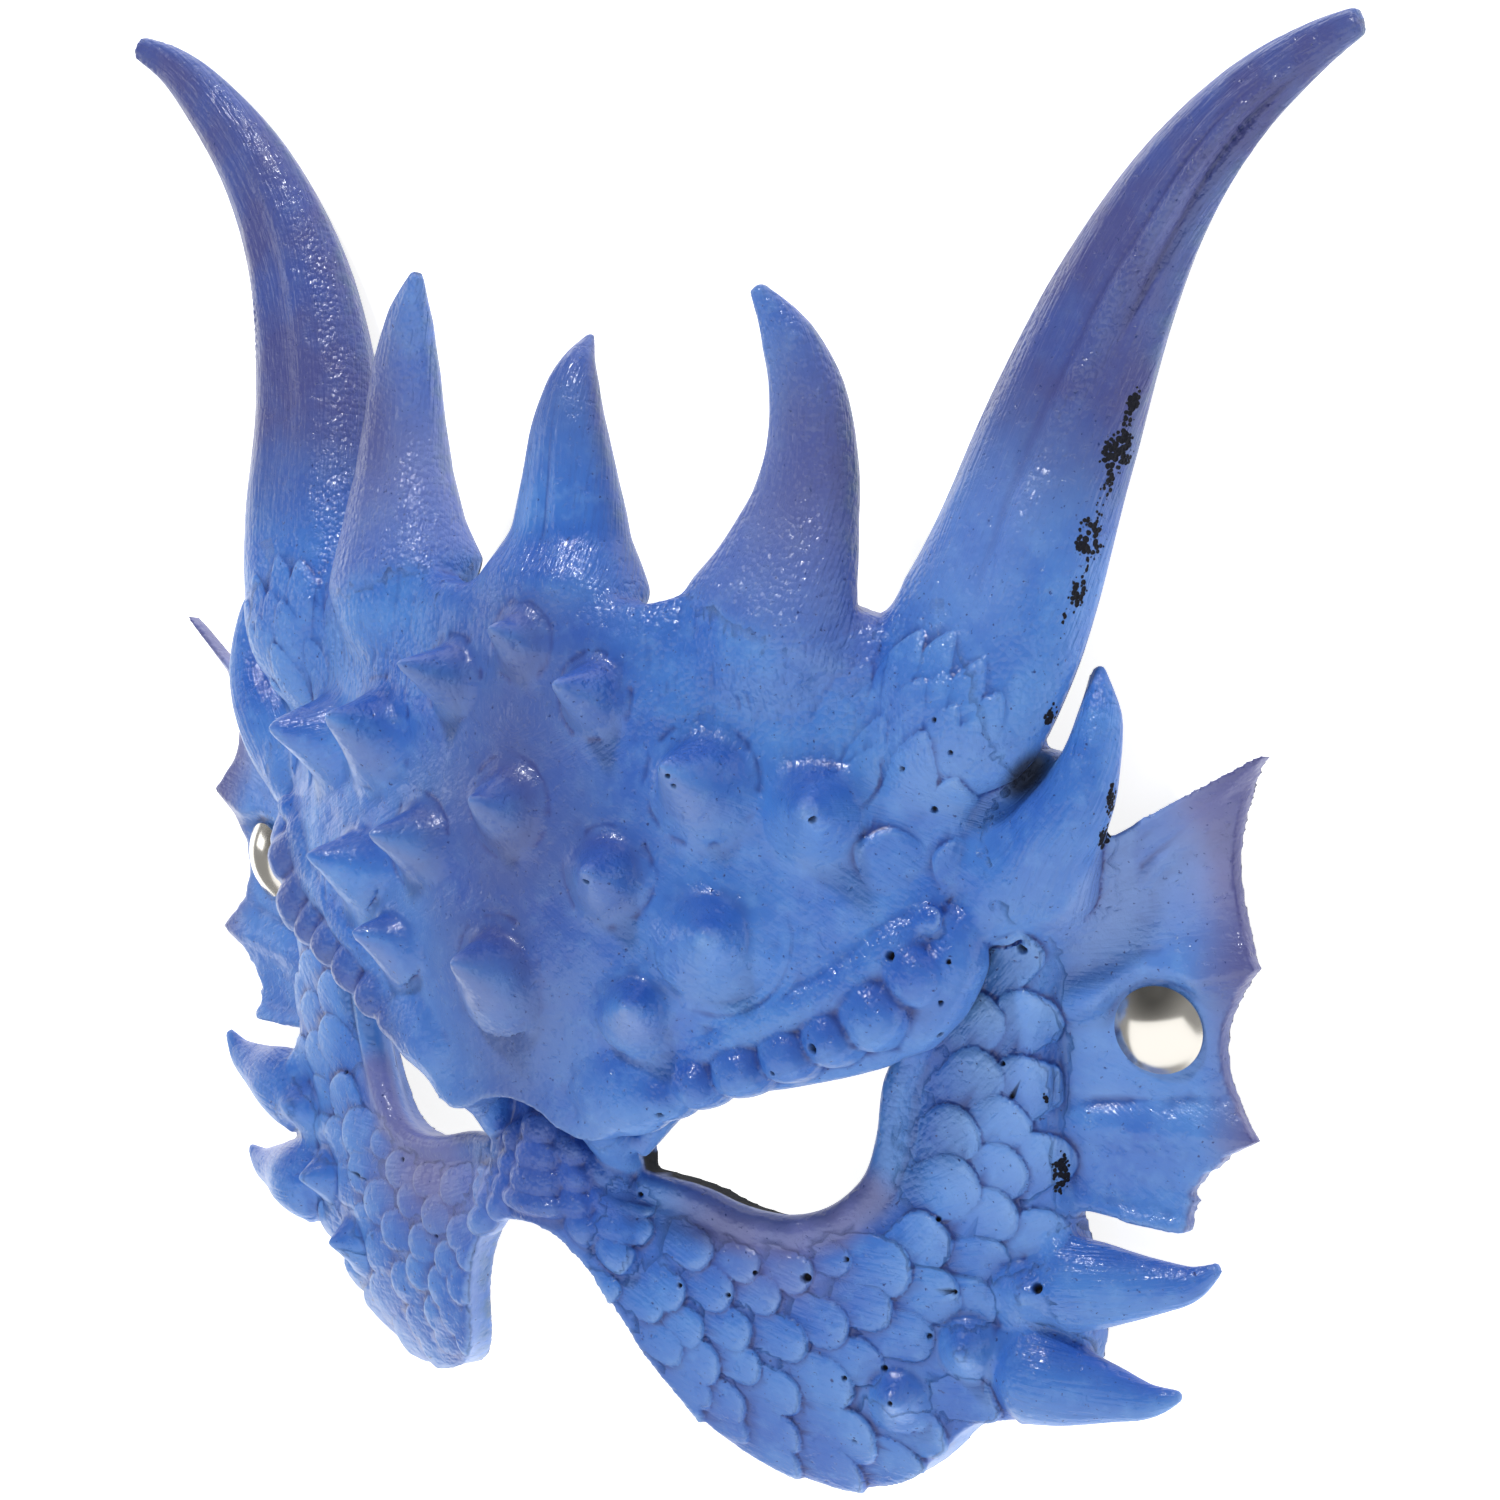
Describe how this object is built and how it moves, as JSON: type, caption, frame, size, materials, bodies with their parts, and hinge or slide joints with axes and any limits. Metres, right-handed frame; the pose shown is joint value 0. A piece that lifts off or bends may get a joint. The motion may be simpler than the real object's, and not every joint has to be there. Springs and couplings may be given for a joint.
{
  "type": "dragon mask",
  "caption": "Half-face dragon mask of moulded foam with horns, forehead cones, scaly cheeks and webbed side fins, a domed rivet in each fin.",
  "frame": {"origin": "centre of the bounding box's underside, with the mask lying on its back, face up", "axes": "+X to the viewer's right, +Y up the face towards the horns, +Z out of the face"},
  "size_m": [0.2802, 0.2532, 0.0628],
  "materials": {
    "foam": "satin, airbrushed",
    "rivet": "bright nickel"
  },
  "bodies": {
    "root": {"mask": "foam", "rivet_left": "rivet", "rivet_right": "rivet"}
  },
  "joints": []
}
